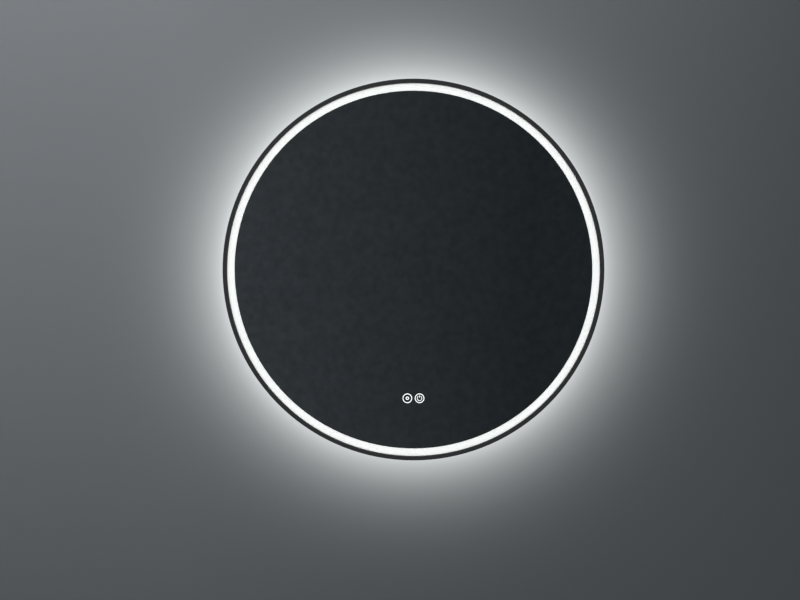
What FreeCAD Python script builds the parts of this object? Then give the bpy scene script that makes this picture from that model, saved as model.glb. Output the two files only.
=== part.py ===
"""Round lighted bathroom mirror, hung on a wall by a cleat rail.

World frame: millimetres, +Z up, the wall is the plane Y = 0 and the mirror faces -Y.
The origin is the middle of the wall rail's line of screws, on the wall.

Every body is drawn lying on its back: X to the right and Y up as seen from the front,
Z the distance from the wall. Its Placement then stands it up against the wall.
"""

import FreeCAD
import Part
import Sketcher
import math
import os
import re
from FreeCAD import Placement, Rotation, Vector

# Driving dimensions, in millimetres, degrees or as counts.
SIZES = {
    # outline
    "outer_r": 400,            # outside of the frame
    "depth": 48,               # wall to the front of the frame
    "rail_rise": 190,          # rail screws above the mirror's centre
    # frame extrusion
    "frame_wall": 2,
    "lip_w": 9,
    "lip_t": 1.6,
    "lip_bevel": 0.8,
    "shelf_w": 4.6,
    "shelf_t": 1.4,
    "flange_w": 13,
    "flange_t": 2,
    "skirt": 0.5,              # frame wall stands proud of the pan's rim
    "joint_gap": 0.2,          # hairline where the ring's two ends meet
    # glass and silvering
    "tape_t": 0.4,
    "tape_inset": 1,
    "glass_t": 4,
    "glass_gap": 0.4,
    "arris": 0.4,
    "band_w": 16,              # clear band between the lip and the silvering
    "coat_t": 0.1,
    "film_gap": 0.05,
    # touch symbols
    "icon_x": 12.77,           # either side of the centre line
    "icon_rise": 130,          # above the frame's lower edge
    "icon_r": 10,
    "icon_line": 1.6,
    "power_r": 5.5,
    "power_line": 1.2,
    "power_open": 32,          # half angle of the broken ring's opening
    "power_bar": 4.5,
    "mist_r": 3.5,
    "mist_line": 1.6,
    # light chamber behind the clear band
    "diffuser_t": 2,
    "diffuser_lap": 2.6,       # how far it reaches behind the shelf
    "diffuser_rib": 2,
    "reflector_t": 1.2,
    "reflector_gap": 1,
    "coat_lap": 7,             # silvering covers the reflector's inner wall by this
    "board_t": 0.4,
    "board_gap": 0.3,
    "front_board_w": 8,
    "front_leds": 80,
    "front_led_w": 3.5,
    "front_led_t": 0.9,
    "strip_cut": 10,           # strip's ends meet this far below the middle
    "strip_gap": 4,
    # splice that closes the frame
    "splice_w": 5,
    "splice_t": 3.6,
    "splice_len": 60,
    "splice_screw_x": 18,
    "splice_screw_r": 1.2,
    "splice_head_r": 2.1,
    "splice_head_t": 1.2,
    "splice_bite": 1.2,
    "splice_clear": 0.5,
    "screw_gap": 0.15,
    "thread_gap": 0.05,
    # rear pan
    "sheet_t": 1,
    "stand_off": 4,
    "dish_depth": 10,
    "dish_inset": 29,          # dish wall inside the frame's outside
    "rim_gap": 2,
    "bead_x": 240,
    "bead_w": 14,
    "bead_len": 260,
    "bead_t": 1.5,
    "vent_y": 300,
    "vent_w": 4,
    "vent_len": 26,
    "vent_pitch": 16,
    "vents": 7,
    "pan_screws": 8,
    "pan_screw_r": 1.5,
    "pan_head_r": 2.8,
    "pan_head_t": 1.8,
    "pan_screw_tip": 0.6,
    # rear light
    "rear_board_w": 5,
    "rear_leds": 80,
    "rear_led_w": 2.8,
    "rear_led_t": 0.8,
    "sleeve_t": 1.2,
    "sleeve_w": 6.5,
    "sleeve_h": 9,
    # cleat rail on the wall
    "rail_len": 300,
    "rail_t": 2,
    "rail_foot": 14,
    "rail_knee": 8,
    "rail_jog": 7,
    "rail_tongue": 12,
    "slot_pitch": 240,
    "slot_w": 5.5,
    "slot_len": 12,
    # hanger hooked on it
    "hanger_len": 280,
    "hanger_t": 2,
    "hanger_gap": 0.3,
    "hanger_over": 1.5,
    "hanger_base": 20,
    "rivets": 4,
    "rivet_pitch": 80,
    "rivet_r": 1.6,
    "rivet_head_r": 3.4,
    "rivet_head_t": 1.4,
    "lift": 18,
    "pocket_gap": 3,
    "pocket_side": 15,
    "pocket_round": 10,
    # wall bumpers
    "bumper_x": 280,
    "bumper_top": 150,
    "bumper_low": 180,
    "bumper_r": 9,
    # demister pad
    "demister_w": 400,
    "demister_l": 240,
    "demister_y": 20,
    "demister_t": 0.6,
    "demister_round": 12,
    # touch sensors
    "sensor_w": 24.5,
    "sensor_l": 30,
    "sensor_t": 8.4,
    "lens_r": 10.7,
    "lens_t": 2.5,
    "lens_gap": 0.2,
    "lens_seat": 1,
    "sensor_floor": 2,
    "sensor_board_t": 1.2,
    # driver
    "driver_x": -55,
    "driver_y": -70,
    "driver_len": 190,
    "driver_w": 52,
    "driver_t": 24,
    "driver_wall": 1.6,
    "driver_round": 3,
    "driver_tape_t": 1,
    "driver_tape_inset": 4,
    "post_r": 3,
    "post_inset": 7,
    "post_t": 3,
    "driver_board_t": 1.6,
    "driver_board_gap": 1,
    "coil_w": 28,
    "coil_len": 32,
    "coil_t": 12,
    "can_r": 5,
    "can_x": 62,
    "can_pitch": 14,
    "lid_screw_r": 1.2,
    "lid_head_r": 2.4,
    "lid_head_t": 1.4,
    "lid_bite": 5,
    # terminal box
    "terminal_x": 125,
    "terminal_y": -70,
    "terminal_w": 60,
    "terminal_l": 40,
    "terminal_plate": 2.4,
    "terminal_t": 22,
    "terminal_wall": 1.6,
    "terminal_round": 3,
    "block_w": 30,
    "block_l": 14,
    "block_t": 12,
    "pole_pitch": 9,
    "pole_r": 2.2,
    "boss_r": 3.2,
    "boss_x": 22,
    "boss_y": 12,
    "boss_clear": 0.1,
    "tether_y": 13,
    "entry_w": 24,             # notch for the supply and the earth lead
    # supply entry and earth
    "grommet_y": -140,
    "grommet_r": 10.5,
    "grommet_neck": 8,
    "grommet_bore": 4,
    "grommet_wall": 2,
    "grommet_lip": 1.2,
    "grommet_sleeve": 6,
    "grommet_gap": 0.1,
    "earth_x": 70,
    "earth_y": -130,
    "stud_r": 2,
    "stud_len": 12,
    "stud_gap": 0.15,
    "lug_r": 4.2,
    "lug_t": 0.8,
    "crimp_w": 5,
    "crimp_len": 8,
    "nut_flats": 7,
    "nut_t": 3.2,
    # leads
    "lead_r": 1.5,
    "lead_sides": 8,
    "lead_z": 9.5,             # their axes above the wall
    "lead_bend": 9,
    "lead_pitch": 9,
    "lead_hole": 0.4,
    "lead_turn": 16,           # from the driver's end to the first turn
    "rise_inset": 62,          # front strip's lead turns forward this far inside the frame
    "clip_wall": 2,
    "clip_len": 8,
    "clip_gap": 0.1,
    "clip_left": 30,
    "clip_low": 90,
}

# Places and sizes worked out from them.
DERIVED = {
    # frame and glass, radii and distances from the wall
    "wall_r": "outer_r - frame_wall",
    "lip_r": "outer_r - lip_w",
    "lip_back": "depth - lip_t",
    "glass_front": "lip_back - tape_t",
    "glass_back": "glass_front - glass_t",
    "glass_r": "wall_r - glass_gap",
    "shelf_r": "wall_r - shelf_w",
    "shelf_back": "glass_back - shelf_t",
    "coat_r": "lip_r - band_w",
    "coat_front": "glass_back - film_gap",
    "coat_back": "coat_front - coat_t",
    "icon_drop": "outer_r - icon_rise",
    # rear pan
    "pan_front": "stand_off + sheet_t",
    "rim_back": "stand_off + dish_depth",
    "rim_front": "rim_back + sheet_t",
    "dish_r": "outer_r - dish_inset",
    "rim_r": "wall_r - rim_gap",
    "flange_front": "rim_front + flange_t",
    "flange_r": "wall_r - flange_w",
    "frame_back": "rim_back - skirt",
    "pan_screw_at": "flange_r + flange_w / 2",
    # light chamber
    "reflector_r": "coat_r - coat_lap",
    "chamber_back": "flange_front + reflector_t",
    "diffuser_back": "shelf_back - diffuser_t",
    "diffuser_r": "shelf_r + diffuser_lap",
    "front_strip_z": "(chamber_back + diffuser_back) / 2",
    "front_board_r": "wall_r - board_gap - board_t",
    "splice_z": "chamber_back + splice_clear + splice_w / 2",
    "splice_r": "wall_r - board_gap",
    "splice_seat": "sqrt((splice_r - splice_t) ^ 2 - (splice_screw_x + splice_head_r) ^ 2)",
    # rear light
    "sleeve_back": "rim_back - sleeve_h",
    "rear_strip_z": "rim_back - sleeve_h / 2",
    "rear_board_r": "dish_r + board_gap",
    # cleat
    "bend_step": "rail_t * tan(22.5 deg)",
    "slope_top": "rail_knee + rail_jog",
    "tongue_top": "slope_top + rail_tongue",
    "hook_front": "rail_jog - hanger_gap",
    "hook_back": "hook_front - hanger_t",
    "hook_knee": "tongue_top + hanger_over",
    "base_start": "hook_knee + rim_back - hook_front",
    "base_end": "base_start + hanger_base",
    "hanger_step": "hanger_t * tan(22.5 deg)",
    "pocket_low": "rail_rise - rail_foot - lift - pocket_gap",
    "pocket_high": "rail_rise + base_end + pocket_gap",
    "pocket_half": "rail_len / 2 + pocket_side",
    "rivet_y": "rail_rise + base_start + hanger_base / 2",
    # sensors
    "sensor_back": "coat_back - sensor_t",
    "sensor_front": "sensor_back + sensor_floor",
    "lens_back": "coat_back - lens_t",
    # driver
    "case_back": "pan_front + driver_tape_t",
    "case_front": "case_back + driver_t",
    "driver_left": "driver_x - driver_len / 2",
    "driver_right": "driver_x + driver_len / 2",
    "posts_x": "driver_len / 2 - post_inset",
    "posts_y": "driver_w / 2 - post_inset",
    "driver_board_z": "case_back + driver_wall + post_t",
    # terminal box
    "base_front": "pan_front + terminal_plate",
    "cover_front": "pan_front + terminal_t",
    "terminal_left": "terminal_x - terminal_w / 2",
    # leads
    "turn_x": "driver_left - lead_turn",
    "front_rise": "outer_r - rise_inset",
    "sensor_turn": "sensor_l / 2 - lead_pitch / 2 - lead_r",
    "demister_back": "coat_back - demister_t",
}

# Limits of the checks made while building.
SAME_PLACE = 1e-4              # mm between two places that count as one
LEAST_CUT = 1e-6               # mm3 that a pocket has to take away
TUBE_SHARE = 1e-3              # a lead's volume against its section times its length

doc = FreeCAD.newDocument("lighted_mirror")
sheet = doc.addObject("Spreadsheet::Sheet", "Sizes")
for row, (alias, number) in enumerate(SIZES.items(), start=1):
    sheet.set(f"A{row}", alias)
    sheet.set(f"B{row}", str(number))
    sheet.setAlias(f"B{row}", alias)
doc.recompute()

nodes = []


def full(text):
    """Spell a formula out in the sheet's own cells."""
    def swap(match):
        word = match.group(0)
        if word in DERIVED:
            return "(" + full(DERIVED[word]) + ")"
        if word in SIZES:
            return "Sizes." + word
        return word
    return re.sub(r"[a-z]\w*", swap, text)


def value(text):
    """What a formula comes to now."""
    return float(sheet.evalExpression(full(text)))


def stand_up(piece, drop="rail_rise"):
    """Turn a piece drawn on its back to face -Y, its centre below the rail by drop."""
    piece.Placement = Placement(Vector(0, 0, 0), Rotation(Vector(1, 0, 0), 90))
    piece.setExpression("Placement.Base.z", full("-(" + drop + ")"))
    nodes.append(piece)


def new_body(label, drop="rail_rise"):
    body = doc.addObject("PartDesign::Body", label)
    body.Label = label
    stand_up(body, drop)
    return body


def origin(body, role):
    return next(item for item in body.Origin.OriginFeatures if item.Role == role)


def new_sketch(body, plane="XY_Plane", offset="0"):
    made = body.newObject("Sketcher::SketchObject", body.Label + "_sketch")
    made.AttachmentSupport = (origin(body, plane), "")
    made.MapMode = "FlatFace"
    made.setExpression("AttachmentOffset.Base.z", full(offset))
    return made


def pin(sketch, kind, where, formula, start):
    """Tie one dimension of a sketch to a formula."""
    made = sketch.addConstraint(Sketcher.Constraint(kind, *where, start))
    sketch.setExpression(f"Constraints[{made}]", full(formula))


def pin_point(sketch, item, end, x, y):
    pin(sketch, "DistanceX", (item, end), x, value(x))
    pin(sketch, "DistanceY", (item, end), y, value(y))


def circle(sketch, x, y, radius):
    centre = Vector(value(x), value(y), 0)
    item = sketch.addGeometry(Part.Circle(centre, Vector(0, 0, 1), value(radius)), False)
    pin(sketch, "Radius", (item,), radius, value(radius))
    pin_point(sketch, item, 3, x, y)


def ring(sketch, x, y, outer, inner):
    circle(sketch, x, y, outer)
    circle(sketch, x, y, inner)


def outline(sketch, points):
    """Closed outline of straight lines through (x, y) formulas."""
    places = [Vector(value(x), value(y), 0) for x, y in points]
    count = len(points)
    items = [sketch.addGeometry(Part.LineSegment(places[i], places[(i + 1) % count]), False)
             for i in range(count)]
    for i, item in enumerate(items):
        sketch.addConstraint(Sketcher.Constraint("Coincident", item, 2, items[(i + 1) % count], 1))
        pin_point(sketch, item, 1, *points[i])


def box(sketch, x0, x1, y0, y1):
    outline(sketch, [(x0, y0), (x1, y0), (x1, y1), (x0, y1)])


def round_box(sketch, x, y, width, height, corner):
    """Rectangle about (x, y) with corners of one radius."""
    left, right = f"{x} - ({width}) / 2", f"{x} + ({width}) / 2"
    low, high = f"{y} - ({height}) / 2", f"{y} + ({height}) / 2"
    x0, x1, y0, y1, r = (value(item) for item in (left, right, low, high, corner))
    ends = [((x0 + r, y0), (x1 - r, y0)), ((x1, y0 + r), (x1, y1 - r)),
            ((x1 - r, y1), (x0 + r, y1)), ((x0, y1 - r), (x0, y0 + r))]
    centres = [(x1 - r, y0 + r), (x1 - r, y1 - r), (x0 + r, y1 - r), (x0 + r, y0 + r)]
    sides = [sketch.addGeometry(Part.LineSegment(Vector(*a, 0), Vector(*b, 0)), False)
             for a, b in ends]
    turns = []
    for i, centre in enumerate(centres):
        whole = Part.Circle(Vector(*centre, 0), Vector(0, 0, 1), r)
        start = math.pi / 2 * (i - 1)
        turns.append(sketch.addGeometry(Part.ArcOfCircle(whole, start, start + math.pi / 2), False))
    for i in range(4):
        sketch.addConstraint(Sketcher.Constraint("Tangent", sides[i], 2, turns[i], 1))
        sketch.addConstraint(Sketcher.Constraint("Tangent", turns[i], 2, sides[(i + 1) % 4], 1))
        sketch.addConstraint(Sketcher.Constraint("Vertical" if i % 2 else "Horizontal", sides[i]))
        pin(sketch, "Radius", (turns[i],), corner, r)
    pin(sketch, "DistanceY", (sides[0], 1), low, y0)
    pin(sketch, "DistanceX", (sides[1], 1), right, x1)
    pin(sketch, "DistanceY", (sides[2], 1), high, y1)
    pin(sketch, "DistanceX", (sides[3], 1), left, x0)


def slot(sketch, x, y, length, width, upright=False):
    """Slot with round ends about (x, y), lying along X or upright."""
    reach = f"(({length}) - ({width})) / 2"
    centres = [(x, f"{y} + {reach}"), (x, f"{y} - {reach}")]
    if not upright:
        centres = [(f"{x} - {reach}", y), (f"{x} + {reach}", y)]
    start = 0 if upright else math.pi / 2
    half = value(width) / 2
    turns = []
    for i, (cx, cy) in enumerate(centres):
        whole = Part.Circle(Vector(value(cx), value(cy), 0), Vector(0, 0, 1), half)
        first = start + math.pi * i
        turns.append(sketch.addGeometry(Part.ArcOfCircle(whole, first, first + math.pi), False))
        pin_point(sketch, turns[i], 3, cx, cy)
        pin(sketch, "Radius", (turns[i],), f"({width}) / 2", half)
    for i in range(2):
        a = sketch.getPoint(turns[i], 2)
        b = sketch.getPoint(turns[1 - i], 1)
        side = sketch.addGeometry(Part.LineSegment(a, b), False)
        sketch.addConstraint(Sketcher.Constraint("Tangent", turns[i], 2, side, 1))
        sketch.addConstraint(Sketcher.Constraint("Tangent", side, 2, turns[1 - i], 1))


def broken_ring(sketch, x, y, outer, line, opening):
    """Ring of one line width with an opening at its top, opening being the half angle."""
    inner = f"({outer} - {line})"
    first = math.radians(90 + value(opening))
    last = math.radians(450 - value(opening))
    items = []
    for radius in (outer, inner):
        whole = Part.Circle(Vector(value(x), value(y), 0), Vector(0, 0, 1), value(radius))
        item = sketch.addGeometry(Part.ArcOfCircle(whole, first, last), False)
        pin(sketch, "Radius", (item,), radius, value(radius))
        pin_point(sketch, item, 3, x, y)
        pin(sketch, "DistanceX", (item, 1), f"{x} - {radius} * sin({opening} * 1 deg)",
            sketch.getPoint(item, 1).x)
        pin(sketch, "DistanceX", (item, 2), f"{x} + {radius} * sin({opening} * 1 deg)",
            sketch.getPoint(item, 2).x)
        items.append(item)
    for end in (1, 2):
        a = sketch.getPoint(items[0], end)
        b = sketch.getPoint(items[1], end)
        side = sketch.addGeometry(Part.LineSegment(a, b), False)
        sketch.addConstraint(Sketcher.Constraint("Coincident", side, 1, items[0], end))
        sketch.addConstraint(Sketcher.Constraint("Coincident", side, 2, items[1], end))


def slab(body, start, end, draw):
    """Pad what draw puts in a sketch, from one distance off the wall to another."""
    sketch = new_sketch(body, offset=start)
    draw(sketch)
    made = body.newObject("PartDesign::Pad", body.Label + "_pad")
    made.Profile = sketch
    made.setExpression("Length", full(f"({end}) - ({start})"))
    doc.recompute()
    return made


def cut(body, start, end, draw):
    """Pocket what draw puts in a sketch, from one distance off the wall to another."""
    sketch = new_sketch(body, offset=end)
    draw(sketch)
    return pocket(body, sketch, f"({end}) - ({start})")


def pocket(body, sketch, length, along=False):
    """Cut away from the sketch, against its plane's normal or along it."""
    made = body.newObject("PartDesign::Pocket", body.Label + "_pocket")
    made.Profile = sketch
    made.Reversed = along
    made.setExpression("Length", full(length))
    doc.recompute()
    tool = made.AddSubShape.copy()
    tool.Placement = made.Placement.multiply(tool.Placement)
    if made.BaseFeature.Shape.common(tool).Volume < LEAST_CUT:
        raise ValueError(body.Label + ": a pocket cuts nothing")
    return made


def turned(body, points, plane="XZ_Plane", angle="360", both=False):
    """Turn an outline of (radius, distance from the wall) about the mirror's axis."""
    sketch = new_sketch(body, plane)
    outline(sketch, points)
    made = body.newObject("PartDesign::Revolution", body.Label + "_turned")
    made.Profile = sketch
    made.ReferenceAxis = (sketch, ["V_Axis"])
    made.Midplane = both
    made.setExpression("Angle", full(angle))
    doc.recompute()


def around(body, features, count):
    """Repeat features about the mirror's axis."""
    made = body.newObject("PartDesign::PolarPattern", body.Label + "_pattern")
    made.Originals = features
    made.Axis = (origin(body, "Z_Axis"), [""])
    made.Angle = 360
    made.setExpression("Occurrences", full(count))
    body.Tip = made
    doc.recompute()
    return made


def in_line(body, features, count, pitch):
    """Repeat features to the right, one pitch apart."""
    made = body.newObject("PartDesign::LinearPattern", body.Label + "_pattern")
    made.Originals = features
    made.Direction = (origin(body, "X_Axis"), [""])
    made.setExpression("Length", full(f"({pitch}) * ({count} - 1)"))
    made.setExpression("Occurrences", full(count))
    body.Tip = made
    doc.recompute()
    return made


def bevel(body, size, radius, z):
    """Chamfer the round edge of this radius at this distance from the wall."""
    want_r, want_z = value(radius), value(z)
    base = body.Tip
    names = [f"Edge{i}" for i, edge in enumerate(base.Shape.Edges, start=1)
             if isinstance(edge.Curve, Part.Circle) and abs(edge.Curve.Radius - want_r) < SAME_PLACE
             and abs(edge.Curve.Center.z - want_z) < SAME_PLACE]
    made = body.newObject("PartDesign::Chamfer", body.Label + "_bevel")
    made.Base = (base, names)
    made.setExpression("Size", full(size))
    doc.recompute()


def screw_circle(sketch, radius):
    """Circle at the first pan screw, half a pitch round from the frame's joint."""
    half_pitch = "180 deg / pan_screws"
    circle(sketch, f"pan_screw_at * sin({half_pitch})", f"pan_screw_at * cos({half_pitch})", radius)


def both_signs(size):
    return [f"-({size})", f"({size})"]


# ---------------------------------------------------------------- wall rail

def wall_rail():
    """Cleat rail: foot on the wall, 45 degree slope, tongue standing off it."""
    body = new_body("wall_rail", "0")
    sketch = new_sketch(body, "YZ_Plane")
    outline(sketch, [("-rail_foot", "0"), ("rail_knee", "0"), ("slope_top", "rail_jog"),
                     ("tongue_top", "rail_jog"), ("tongue_top", "rail_jog + rail_t"),
                     ("slope_top - bend_step", "rail_jog + rail_t"),
                     ("rail_knee - bend_step", "rail_t"), ("-rail_foot", "rail_t")])
    made = body.newObject("PartDesign::Pad", "wall_rail_pad")
    made.Profile = sketch
    made.Midplane = True
    made.setExpression("Length", full("rail_len"))
    doc.recompute()
    for x in both_signs("slot_pitch / 2"):
        cut(body, "0", "rail_t", lambda s, x=x: slot(s, x, "0", "slot_len", "slot_w"))


# ---------------------------------------------------------------- frame and glass

def frame_ring():
    """Extrusion rolled to a ring: front lip, glass shelf and rear screw flange on one wall."""
    body = new_body("frame_ring")
    turned(body, [("outer_r", "frame_back"), ("outer_r", "depth"), ("lip_r", "depth"),
                  ("lip_r", "lip_back"), ("wall_r", "lip_back"), ("wall_r", "glass_back"),
                  ("shelf_r", "glass_back"), ("shelf_r", "shelf_back"), ("wall_r", "shelf_back"),
                  ("wall_r", "flange_front"), ("flange_r", "flange_front"),
                  ("flange_r", "rim_front"), ("wall_r", "rim_front"), ("wall_r", "frame_back")])
    bevel(body, "lip_bevel", "outer_r", "depth")
    bevel(body, "lip_bevel / 2", "lip_r", "depth")
    cut(body, "frame_back", "depth",
        lambda s: box(s, "-joint_gap / 2", "joint_gap / 2", "-(outer_r + 1)", "-(flange_r - 1)"))
    hole = cut(body, "rim_front", "flange_front",
               lambda s: screw_circle(s, "pan_screw_r + thread_gap"))
    around(body, [hole], "pan_screws")
    sketch = new_sketch(body, "XZ_Plane")
    for x in both_signs("splice_screw_x"):
        circle(sketch, x, "splice_z", "splice_screw_r + thread_gap")
    pocket(body, sketch, "wall_r + splice_bite", along=True)


def frame_splice():
    """Curved block inside the frame wall that bridges the ring's joint."""
    body = new_body("frame_splice")
    back, front = "splice_z - splice_w / 2", "splice_z + splice_w / 2"
    outside, inside = "-splice_r", "-(splice_r - splice_t)"
    turned(body, [(outside, back), (inside, back), (inside, front), (outside, front)],
           "YZ_Plane", "2 * asin(splice_len / 2 / splice_r)", both=True)
    sketch = new_sketch(body, "XZ_Plane")
    for x in both_signs("splice_screw_x"):
        circle(sketch, x, "splice_z", "splice_screw_r + screw_gap")
    pocket(body, sketch, "outer_r", along=True)


def splice_screws():
    """Screws that run from inside through the splice into the frame wall."""
    body = new_body("splice_screws")
    steps = [("splice_seat - splice_head_t", "splice_head_t", "splice_head_r"),
             ("splice_seat", "wall_r + splice_bite / 2 - splice_seat", "splice_screw_r")]
    for start, length, radius in steps:
        sketch = new_sketch(body, "XZ_Plane", start)
        for x in both_signs("splice_screw_x"):
            circle(sketch, x, "splice_z", radius)
        made = body.newObject("PartDesign::Pad", "splice_screws_pad")
        made.Profile = sketch
        made.setExpression("Length", full(length))
        doc.recompute()


def lip_tape():
    body = new_body("lip_tape")
    slab(body, "glass_front", "lip_back",
         lambda s: ring(s, "0", "0", "glass_r - tape_inset", "lip_r + tape_inset"))


def mirror_glass():
    body = new_body("mirror_glass")
    slab(body, "glass_back", "glass_front", lambda s: circle(s, "0", "0", "glass_r"))
    for z in ("glass_back", "glass_front"):
        bevel(body, "arris", "glass_r", z)


def silver_coating():
    """Silvering on the back of the glass, with the two touch symbols left clear."""
    body = new_body("silver_coating")
    slab(body, "coat_back", "coat_front", lambda s: circle(s, "0", "0", "coat_r"))
    icon_y = "-icon_drop"
    for x in both_signs("icon_x"):
        cut(body, "coat_back", "coat_front",
            lambda s, x=x: ring(s, x, icon_y, "icon_r", "icon_r - icon_line"))
    cut(body, "coat_back", "coat_front",
        lambda s: ring(s, "-icon_x", icon_y, "mist_r", "mist_r - mist_line"))
    cut(body, "coat_back", "coat_front",
        lambda s: broken_ring(s, "icon_x", icon_y, "power_r", "power_line", "power_open"))
    cut(body, "coat_back", "coat_front",
        lambda s: box(s, "icon_x - power_line / 2", "icon_x + power_line / 2",
                      "power_r - power_bar - icon_drop", "power_r + power_line / 2 - icon_drop"))


# ---------------------------------------------------------------- front light

def front_diffuser():
    """Opal ring behind the clear band: its edge behind the shelf, its rib on the silvering."""
    body = new_body("front_diffuser")
    turned(body, [("reflector_r", "diffuser_back"), ("diffuser_r", "diffuser_back"),
                  ("diffuser_r", "shelf_back"), ("reflector_r + diffuser_rib", "shelf_back"),
                  ("reflector_r + diffuser_rib", "coat_back"), ("reflector_r", "coat_back")])


def reflector_ring():
    """White channel that closes the light chamber behind and inside."""
    body = new_body("reflector_ring")
    outer = "wall_r - reflector_gap"
    turned(body, [("reflector_r", "flange_front"), (outer, "flange_front"),
                  (outer, "chamber_back"), ("reflector_r + reflector_t", "chamber_back"),
                  ("reflector_r + reflector_t", "diffuser_back"), ("reflector_r", "diffuser_back")])
    hole = cut(body, "flange_front", "chamber_back",
               lambda s: screw_circle(s, "pan_screw_r + screw_gap"))
    around(body, [hole], "pan_screws")
    side_hole(body, "driver_y", "front_strip_z", "reflector_r + reflector_t + 1")


def side_hole(body, y, z, reach):
    """Hole for a lead through the left wall of a ring."""
    sketch = new_sketch(body, "YZ_Plane")
    circle(sketch, y, z, "lead_r + lead_hole")
    pocket(body, sketch, reach)


def led_board(label, inner, middle, width):
    """Strip bent to a ring whose ends leave a gap on the left."""
    body = new_body(label)
    back, front = f"{middle} - {width} / 2", f"{middle} + {width} / 2"
    outer = f"{inner} + board_t"
    turned(body, [(inner, back), (outer, back), (outer, front), (inner, front)])
    cut(body, back, front,
        lambda s: box(s, "-outer_r", "-outer_r / 2",
                      "-strip_cut - strip_gap / 2", "-strip_cut + strip_gap / 2"))


def led_row(label, inner, outer, middle, width, count):
    """Square LEDs side by side round the whole strip."""
    body = new_body(label)
    first = slab(body, f"{middle} - {width} / 2", f"{middle} + {width} / 2",
                 lambda s: box(s, inner, outer, f"-({width}) / 2", f"({width}) / 2"))
    around(body, [first], count)


# ---------------------------------------------------------------- rear pan

def rear_pan():
    """Pressed steel dish with a rim, a pocket for the hanger, beads and vents."""
    body = new_body("rear_pan")
    turned(body, [("0", "stand_off"), ("dish_r", "stand_off"), ("dish_r", "rim_back"),
                  ("rim_r", "rim_back"), ("rim_r", "rim_front"), ("dish_r - sheet_t", "rim_front"),
                  ("dish_r - sheet_t", "pan_front"), ("0", "pan_front")])
    pocket_y = "(pocket_low + pocket_high) / 2"
    pocket_l = "(pocket_high - pocket_low)"
    raised(body, "dish_depth",
           lambda s, grow: round_box(s, "0", pocket_y, f"2 * pocket_half + {grow}",
                                     f"{pocket_l} + {grow}", f"pocket_round + {grow} / 2"))
    for x in both_signs("bead_x"):
        raised(body, "bead_t",
               lambda s, grow, x=x: slot(s, x, "0", f"bead_len + {grow}", f"bead_w + {grow}", True))
    for y in both_signs("vent_y"):
        start = "-vent_pitch * (vents - 1) / 2"
        first = cut(body, "stand_off", "pan_front",
                    lambda s, y=y: slot(s, start, y, "vent_len", "vent_w", True))
        in_line(body, [first], "vents", "vent_pitch")
    hole = cut(body, "rim_back", "rim_front",
               lambda s: screw_circle(s, "pan_screw_r + screw_gap"))
    around(body, [hole], "pan_screws")
    cut(body, "stand_off", "pan_front",
        lambda s: circle(s, "terminal_x", "grommet_y", "grommet_neck"))
    for y in both_signs("tether_y"):
        cut(body, "stand_off", "pan_front",
            lambda s, y=y: circle(s, "terminal_x", f"terminal_y + {y}", "rivet_r + screw_gap"))
    first = cut(body, "rim_back", "rim_front",
                lambda s: circle(s, "-rivet_pitch * (rivets - 1) / 2", "rivet_y", "rivet_r + screw_gap"))
    in_line(body, [first], "rivets", "rivet_pitch")
    side_hole(body, "driver_y + lead_pitch", "rear_strip_z", "dish_r + 1")


def raised(body, height, draw):
    """Press a form inwards out of the pan's floor, walls one sheet thick."""
    slab(body, "stand_off", f"pan_front + {height}", lambda s: draw(s, "2 * sheet_t"))
    cut(body, "stand_off", f"stand_off + {height}", lambda s: draw(s, "0"))


def pan_screws():
    body = new_body("pan_screws")
    head = slab(body, "rim_back - pan_head_t", "rim_back", lambda s: screw_circle(s, "pan_head_r"))
    shank = slab(body, "rim_back", "chamber_back + pan_screw_tip",
                 lambda s: screw_circle(s, "pan_screw_r"))
    around(body, [head, shank], "pan_screws")


def hanger_bracket():
    """Hook bar whose cut edge sits on the rail's slope and whose base is riveted in the pocket."""
    body = new_body("hanger_bracket", "0")
    sketch = new_sketch(body, "YZ_Plane")
    outline(sketch, [("rail_knee + hook_back", "hook_back"), ("rail_knee + hook_front", "hook_front"),
                     ("hook_knee", "hook_front"), ("base_start", "rim_back"), ("base_end", "rim_back"),
                     ("base_end", "rim_back - hanger_t"),
                     ("base_start + hanger_step", "rim_back - hanger_t"),
                     ("hook_knee + hanger_step", "hook_back")])
    made = body.newObject("PartDesign::Pad", "hanger_bracket_pad")
    made.Profile = sketch
    made.Midplane = True
    made.setExpression("Length", full("hanger_len"))
    doc.recompute()
    first = cut(body, "rim_back - hanger_t", "rim_back",
                lambda s: circle(s, "-rivet_pitch * (rivets - 1) / 2", "rivet_y - rail_rise",
                                 "rivet_r + screw_gap"))
    in_line(body, [first], "rivets", "rivet_pitch")


def rivet(body, x, y, back, front):
    """Head behind, shank through, closed end in front."""
    steps = [(f"{back} - rivet_head_t", back, "rivet_head_r"), (back, front, "rivet_r"),
             (front, f"{front} + rivet_head_t", "rivet_head_r - rivet_head_t / 2")]
    return [slab(body, start, end, lambda s, r=r: circle(s, x, y, r)) for start, end, r in steps]


def hanger_rivets():
    body = new_body("hanger_rivets")
    parts = rivet(body, "-rivet_pitch * (rivets - 1) / 2", "rivet_y",
                  "rim_back - hanger_t", "rim_front")
    in_line(body, parts, "rivets", "rivet_pitch")


def wall_bumpers():
    body = new_body("wall_bumpers")
    slab(body, "0", "stand_off",
         lambda s: [circle(s, x, y, "bumper_r") for x in both_signs("bumper_x")
                    for y in ("bumper_top", "-bumper_low")])


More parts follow.
